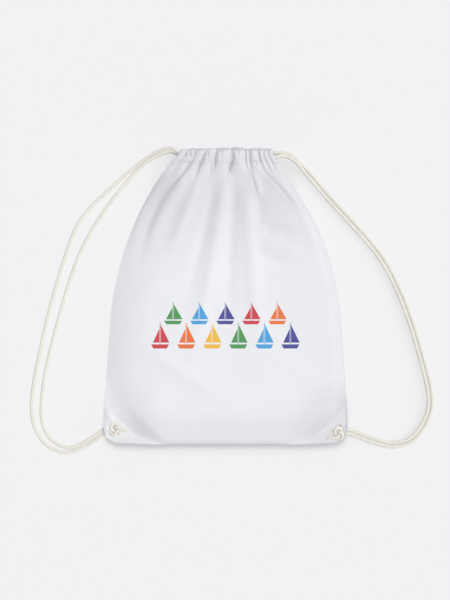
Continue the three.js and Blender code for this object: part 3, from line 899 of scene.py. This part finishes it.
# narrow creases of the gathered casing, given in the same way
casingFolds = [
    ((-58.5, 208), (-57.5, 202), (-55, 196), 1.5, -2.6),
    ((-54.6, 206), (-54, 202), (-53, 197), 1.3, 1.4),
    ((-52.5, 209), (-51, 203), (-50.5, 195.5), 1.5, -2.8),
    ((-48, 207), (-47.5, 202), (-47, 197), 1.3, 1.4),
    ((-45.5, 209), (-44, 203), (-45, 196.5), 1.5, -2.6),
    ((-30, 203), (-54, 192), (-86, 177), 2.4, -2.8),
    ((-44, 197), (-60, 177), (-86, 146), 3.2, -2.6),
    ((-30, 200), (-40, 184), (-46, 162), 2.3, -2.4),
    ((-25, 207), (-24, 199), (-25, 191), 1.4, -1.2),
    ((-14.6, 209), (-13.6, 195), (-17.5, 179), 1.9, -3.6),
    ((-6, 207), (-5, 200), (-7, 192), 1.4, -1.2),
    ((11.2, 205), (9, 188), (2, 175), 2.3, -4.6),
    ((3.5, 204), (3, 192), (-0.5, 177), 1.6, -2.2),
    ((5, 184), (1.5, 176), (-3, 173), 2.8, -2.6),
    ((17.5, 208), (17, 203), (18.5, 197), 1.4, -1.6),
    ((23, 206), (22.5, 197), (23.5, 187), 1.3, -1.7),
    ((28.5, 207), (27.5, 198), (28.5, 188), 1.5, -2.4),
    ((33, 207), (34, 203), (37, 199), 1.4, -1.8),
    ((40, 192), (43, 189), (46, 187), 2.6, -2.6),
    ((45.5, 209), (46.5, 203), (48.5, 196), 1.5, -2.8),
    ((51, 207), (51.3, 198), (52.5, 187), 1.4, 1.6),
    ((55, 209), (54, 203), (51.2, 196), 1.5, -2.6),
    ((60, 208), (59.2, 203), (57, 197), 1.4, -2.0),
]
foldSet = {"samples": 96, "reach": 3, "fadeIn": 0.22, "fadeOut": 0.6, "overrun": 0.02}


def foldRelief(folds, x, y):
    u = np.linspace(0, 1, foldSet["samples"] + 1)[:, None]
    relief = np.zeros(x.shape)
    for start, bend, end, width, height in folds:
        line = np.array(start) * (1 - u) ** 2 + 2 * np.array(bend) * u * (1 - u) + np.array(end) * u**2
        reach = foldSet["reach"] * width
        low, high = line.min(axis=0) - reach, line.max(axis=0) + reach
        near = (x > low[0]) & (x < high[0]) & (y > low[1]) & (y < high[1])
        away = np.hypot(x[near][:, None] - line[:, 0], y[near][:, None] - line[:, 1])
        along = u[away.argmin(axis=1), 0]
        fadeIn = ease(-foldSet["overrun"], foldSet["fadeIn"], along)
        fadeOut = ease(1 + foldSet["overrun"], foldSet["fadeOut"], along)
        relief[near] += height * fadeIn * fadeOut * np.exp(-((away.min(axis=1) / width) ** 2))
    return relief


# chance unevenness between about -1 and 1, its patches of the given size
def unevenness(x, y, size):
    places = zip(x.ravel() / size, y.ravel() / size)
    return np.array([noise.noise((a, b, 0.5)) for a, b in places]).reshape(x.shape)


# share of painted shade along a casing's top edge
def edgeShade(levels, x, y):
    even = frontSet["shadeEdgeEven"] + unevenness(x, y, frontSet["shadeEdgeSize"])
    return ease(*levels, y) * np.clip(even, frontSet["shadeEdgeLeast"], 1)


def rollOff(distance, width, power, bend=2):
    return (1 - (1 - np.clip(distance / width, 0, 1)) ** bend) ** power


# height of the middle of the front cloth below the casing
def frontLevel(columns, x, y):
    left, right, bottom = edgeDistances(x, y)
    neck = ease(*bagSet["neck"], y)
    top = tableAt(crown, y, 1)
    closed = bagSet["seam"] + bagSet["wall"] + bagSet["seamGap"]
    seam = blendTo(closed, top, ease(*frontSet["slit"], y))
    slope = rollOff(left, tableAt(leftSlope, y, 1), 1, tableAt(leftSlope, y, 2))
    shoulder = blendTo(frontSet["rollRight"][0], frontSet["rollNeck"], neck)
    roll = slope * rollOff(right, shoulder, frontSet["rollRight"][1])
    edgeRoll = rollOff(bottom, *frontSet["rollBottom"])
    roll = roll * edgeRoll
    gather = frontSet["gatherShare"] * ease(*frontSet["gather"], y)
    ripple = foldRelief(frontFolds, x, y) + frontSet["swell"] * unevenness(x, y, frontSet["swellSize"])
    ripple = ripple + gather * pleatRise(frontPleats, columns * bagSet["casingHalf"])
    band = np.clip(right / frontSet["seamBand"], 0, 1) * slope
    band = frontSet["seamBandRise"] * band * edgeRoll * ease(*frontSet["seamBandTop"], y)
    strip = foldRelief(edgeFolds, x, y) * rollOff(left, frontSet["edgeStrip"], 1)
    body = blendTo(seam, top, roll) + roll * ripple + band + strip
    corner = bagSet["corner"] + bagSet["cornerStep"] + foldRelief(cornerFolds, x, y)
    return blendTo(body, corner, cornerLift(x, y))


# rows of the front casing: outside with level, height and share of the pleats, round the cords with degrees
# and share of the width, and inside with level
frontCasing = {
    "outside": [(190.5, 21.8, 0.95), (196, 22.8, 1), (203.5, 22.8, 0.95)],
    "roll": [(58, 1), (16, 1), (-26, 0.8), (-66, 0)],
    "inside": [202, 195, 188.5],
}


def frontSection(rise):
    inner = frontSet["innerLevel"]
    y, z, share = [], [], []
    for level, height, puff in frontCasing["outside"]:
        y.append(np.full_like(rise, level))
        z.append(height + rise * puff)
        share.append(1)
    for degrees, width in frontCasing["roll"]:
        angle = np.radians(degrees)
        puff = frontSet["puff"] * max(0, np.cos(angle - frontSet["puffLean"]))
        reach = bagSet["rollRadius"] + rise * puff
        y.append(bagSet["lane"] + reach * np.cos(angle))
        z.append(inner + frontSet["toCord"] + reach * np.sin(angle))
        share.append(width)
    for level in frontCasing["inside"]:
        y.append(np.full_like(rise, level))
        z.append(np.full_like(rise, inner))
        share.append(0)
    return np.array(y), np.array(z), np.array(share)[:, None]


def sewFront():
    columns = columnsAlong(frontPleats, frontSet["finestPleat"], frontSet["columnsPerMm"])
    x, y = bodyRows(columns, frontSet["bodyRows"], frontSet["clustering"])
    body = np.stack([x, y, frontLevel(columns, x, y)], axis=2)
    rise = pleatRise(frontPleats, columns * bagSet["casingHalf"])
    casing = casingRows(body, frontSection(rise), columns, frontSet["perSpan"])
    grid = np.concatenate([body, casing])
    x, y, z = grid[:, :, 0], grid[:, :, 1], grid[:, :, 2]
    left, right, bottom = edgeDistances(x, y)
    outer = np.arange(len(grid))[:, None] < len(body) + frontSet["outerSpans"] * frontSet["perSpan"]
    dip = frontSet["stitchDip"] * np.exp(-(((y - bagSet["stitchLine"]) / frontSet["stitchDipWidth"]) ** 2))
    creased = z + outer * (foldRelief(casingFolds, x, y) - dip)
    overCord = outer * (y > frontSet["overCordFrom"]) * np.minimum(frontSet["overCord"], z)
    grid[:, :, 2] = np.maximum(creased, overCord)
    # painted shade: darker towards the mouth, near the sides and corner holes, above the hem, along the
    # right edge and at the top edge
    mouth = frontSet["shadeShare"] * ease(*frontSet["shadeMouth"], y)
    nearest = np.minimum.reduce([left, right, bottom])
    sides = frontSet["shadeSideShare"] * (1 - ease(0, frontSet["shadeSides"], nearest))
    corner = 0
    for side, hole in holes.items():
        near = ease(*frontSet["shadeCorner"], np.hypot(x - hole["x"], y - hole["y"]))
        corner = corner + frontSet["shadeCornerShare"][side] * near
    hem = ease(*frontSet["shadeHem"], bottom) * ease(*frontSet["shadeHemEdge"], bottom)
    rim = frontSet["shadeRightShare"] * ease(*frontSet["shadeRight"], right)
    shadeAmount = np.maximum(mouth, rim) + np.maximum(sides, corner + frontSet["shadeHemShare"] * hem)
    bm = clothGrid(grid, np.maximum(shadeAmount, edgeShade(frontSet["shadeEdge"], x, y)))
    for hole in holes.values():
        openSlot(bm, hole, frontSlot)
    front = makePiece("front_panel_cloth", bm, printedCloth, "cloth", "front_panel")
    giveWall(front, bagSet["wall"])
    return front, grid[len(body) - 1] + (0, 0, bagSet["wall"] / 2)


# back panel: flat on the floor, its casing a little longer than the front one
backSet = {
    "bodyRows": 110,
    "clustering": 0.5,
    "perSpan": 5,
    "finestPleat": 8,
    "columnsPerMm": 0.8,
    "edgeRoll": 16,
    "gatherIn": (128, 172),
    "gatherOut": (190, 178),
    "gatherShare": 0.8,
    "innerLevel": 7.6,
    "lead": 1.45,
    # painted shade along the top edge of the back casing starts between these levels
    "shadeFrom": (203, 207),
}

# crease, rise of the pleat after it, power
backPleats = [
    (-66, 1.0, 0.8),
    (-57, 2.2, 0.8),
    (-49, 1.2, 0.8),
    (-41, 0.6, 0.8),
    (-33, 1.8, 0.8),
    (-22, 2.4, 0.8),
    (-12, 0.8, 0.8),
    (-4, 1.6, 0.8),
    (4, 3.6, 0.8),
    (18, 2.6, 0.8),
    (27, 0.6, 0.8),
    (36, 1.8, 0.8),
    (44, 2.6, 0.8),
    (54, 1.4, 0.8),
    (66, 0, 0.8),
]


def backLevel(columns, x, y):
    edge = 1 - ease(0, backSet["edgeRoll"], np.minimum.reduce(edgeDistances(x, y)))
    seam = blendTo(bagSet["seam"], bagSet["floor"], ease(*bagSet["slit"], y))
    fade = ease(*backSet["gatherIn"], y) * ease(*backSet["gatherOut"], y)
    gathers = backSet["gatherShare"] * fade * pleatRise(backPleats, columns * bagSet["casingHalf"])
    return blendTo(blendTo(bagSet["floor"], seam, edge) + gathers, bagSet["corner"], cornerLift(x, y))


# rows of the back casing: outside with level, round the cords with degrees and share of the width,
# and inside with level
backCasing = {
    "outside": [194, 202],
    "roll": [(-76, 1), (-28, 1), (20, 0.8), (70, 0)],
    "inside": [202.5, 195.5, 188.5],
}


def backSection(rise):
    inner, floor = backSet["innerLevel"], bagSet["floor"]
    middle = (inner - floor) / 2
    y, z, share = [], [], []
    for level in backCasing["outside"]:
        y.append(np.full_like(rise, level))
        z.append(np.full_like(rise, floor))
        share.append(1)
    for degrees, width in backCasing["roll"]:
        angle = np.radians(degrees)
        reach = bagSet["rollRadius"] + np.cos(angle) * (backSet["lead"] + rise)
        y.append(bagSet["lane"] + reach * np.cos(angle))
        z.append(np.full_like(rise, floor + middle * (1 + np.sin(angle))))
        share.append(width)
    for level in backCasing["inside"]:
        y.append(np.full_like(rise, level))
        z.append(np.full_like(rise, inner))
        share.append(0)
    return np.array(y), np.array(z), np.array(share)[:, None]


def sewBack():
    columns = columnsAlong(backPleats, backSet["finestPleat"], backSet["columnsPerMm"])
    x, y = bodyRows(columns, backSet["bodyRows"], backSet["clustering"])
    body = np.stack([x, y, backLevel(columns, x, y)], axis=2)
    rise = pleatRise(backPleats, columns * bagSet["casingHalf"])
    casing = casingRows(body, backSection(rise), columns, backSet["perSpan"])
    grid = np.concatenate([body, casing])
    # painted shade along the back casing's top edge
    bm = clothGrid(grid, edgeShade(backSet["shadeFrom"], grid[:, :, 0], grid[:, :, 1]))
    for hole in holes.values():
        openSlot(bm, hole, backSlot)
    back = makePiece("back_panel_cloth", bm, bagCloth, "cloth", "back_panel")
    giveWall(back, bagSet["wall"])
    return back


frontCloth, casingSeam = sewFront()
backCloth = sewBack()
print("panels sewn,", len(frontCloth.data.polygons), "and", len(backCloth.data.polygons), "faces")


# corner patches: a three-cornered piece sewn on the front round each hole
def patchPoint(sign, up, along):
    y = patchSet["base"] + patchSet["inset"] + patchSet["leg"] * up
    reach = np.maximum(patchSet["leg"] * (1 - up), patchSet["tip"])
    edge = sign * (halfAt(y) - patchSet["inset"])
    x = edge - sign * reach * (along if sign < 0 else 1 - along)
    return x, np.maximum(y, bottomEdge(x) + patchSet["inset"])


def sewPatch(side, sign):
    inner = np.linspace(0, 1, patchSet["steps"] + 1)[1:-1]
    steps = np.concatenate([[0, patchSet["hemStrip"]], inner, [1 - patchSet["hemStrip"], 1]])
    along, up = np.meshgrid(steps, steps)
    x, y = patchPoint(sign, up, along)
    above = (bagSet["wall"] + patchSet["wall"]) / 2 + patchSet["gap"]
    z = frontLevel(x / halfAt(y), x, y) + above
    # an even share of painted shade on each patch
    bm = clothGrid(np.stack([x, y, z], axis=2), np.full(x.shape, patchShade[side]))
    openSlot(bm, holes[side], frontSlot)
    patch = makePiece(side + "_patch_cloth", bm, patchCloth, "patch_cloth", side + "_corner_patch")
    giveWall(patch, patchSet["wall"])
    return patch


patches = {side: sewPatch(side, sign) for side, sign in (("left", -1), ("right", 1))}

# stitches: one row under the casing and one along the slant of each patch
stitchSet = {
    "pitch": 3.2,
    "size": (1.15, 0.26, 0.26),
    "fromEdge": 2.6,
    "slant": (0.06, 0.9),
    "slantSteps": 40,
}


def sewRow(bm, line):
    ends, _ = evenSteps(line, stitchSet["pitch"])
    size = Matrix.Diagonal((*(side * mm for side in stitchSet["size"]), 1))
    for start, end in zip(ends, ends[1:]):
        way = Vector(end - start).normalized()
        turn = Vector((1, 0, 0)).rotation_difference(way).to_matrix().to_4x4()
        place = Matrix.Translation(Vector((start + end) / 2) * mm) @ turn @ size
        bmesh.ops.create_icosphere(bm, subdivisions=1, radius=1, matrix=place)


def sewStitches():
    bm = bmesh.new()
    sewRow(bm, casingSeam)
    for sign in (-1, 1):
        up = np.linspace(*stitchSet["slant"], stitchSet["slantSteps"])
        x, y = patchPoint(sign, up, np.full_like(up, 1.0 if sign < 0 else 0.0))
        x = x + sign * stitchSet["fromEdge"]
        above = bagSet["wall"] / 2 + patchSet["gap"] + patchSet["wall"]
        sewRow(bm, np.stack([x, y, frontLevel(x / halfAt(y), x, y) + above], axis=1))
    return makePiece("front_stitches", bm, threadCotton, "cloth")


stitches = sewStitches()
print("patches and stitches sewn")

# plain pale floor; a soft key lights the bag from the upper right, another the floor from the mouth's side,
# and a low side light gives the right cord its shadow
studio = {
    "floorFinish": {
        "Base Color": (0.62, 0.62, 0.62, 1),
        "Roughness": 0.9,
        "Specular IOR Level": 0.1,
        "Emission Color": (1, 1, 1, 1),
        "Emission Strength": 0.19,
    },
    "floorHalf": 30,
    "floorLevel": -0.12,
    "sky": (0.97, 0.98, 1.0, 1),
    "skyStrength": 0.52,
    "suns": {
        "bagKey": {"strength": 1.71, "angle": 40, "tilt": (-8, 30)},
        "cordFill": {"strength": 0.42, "angle": 60, "tilt": (0, 0)},
        "floorKey": {"strength": 1.98, "angle": 42, "tilt": (-42, 0)},
        "floorSide": {"strength": 1.007, "angle": 30, "tilt": (0, 64)},
    },
}


def layFloor():
    bm = bmesh.new()
    place = Matrix.Translation((0, 0, studio["floorLevel"] * mm))
    bmesh.ops.create_grid(bm, x_segments=1, y_segments=1, size=studio["floorHalf"], matrix=place)
    mesh = bpy.data.meshes.new("paperFloor")
    bm.to_mesh(mesh)
    bm.free()
    material, _, _ = startMaterial("paleFloor", studio["floorFinish"])
    mesh.materials.append(material)
    floor = bpy.data.objects.new("paperFloor", mesh)
    bpy.context.collection.objects.link(floor)
    return floor


# each sun lights only its own pieces, and only the given ones throw its shadow
def hangLights(lit, shading):
    world = bpy.data.worlds.new("softRoom")
    world.use_nodes = True
    sky = world.node_tree.nodes["Background"].inputs
    sky["Color"].default_value = studio["sky"]
    sky["Strength"].default_value = studio["skyStrength"]
    bpy.context.scene.world = world
    for name, sun in studio["suns"].items():
        lamp = bpy.data.lights.new(name, "SUN")
        lamp.energy = sun["strength"]
        lamp.angle = np.radians(sun["angle"])
        light = bpy.data.objects.new(name, lamp)
        light.rotation_euler = [np.radians(angle) for angle in (*sun["tilt"], 0)]
        bpy.context.collection.objects.link(light)
        receivers = bpy.data.collections.new(name + "Receivers")
        blockers = bpy.data.collections.new(name + "Blockers")
        for piece in lit[name]:
            receivers.objects.link(piece)
        for piece in shading[name]:
            blockers.objects.link(piece)
        light.light_linking.receiver_collection = receivers
        light.light_linking.blocker_collection = blockers
    bpy.context.scene.view_settings.view_transform = "Standard"


paperFloor = layFloor()
cordPieces = [leftCord["piece"], rightCord["piece"], *knots.values()]
clothPieces = [frontCloth, backCloth, stitches, *patches.values()]
hangLights(
    {
        "bagKey": cordPieces + clothPieces,
        "cordFill": cordPieces,
        "floorKey": [paperFloor],
        "floorSide": [paperFloor],
    },
    dict.fromkeys(studio["suns"], [frontCloth, backCloth]) | {"floorSide": [rightCord["piece"]]},
)
print("floor and lights set")
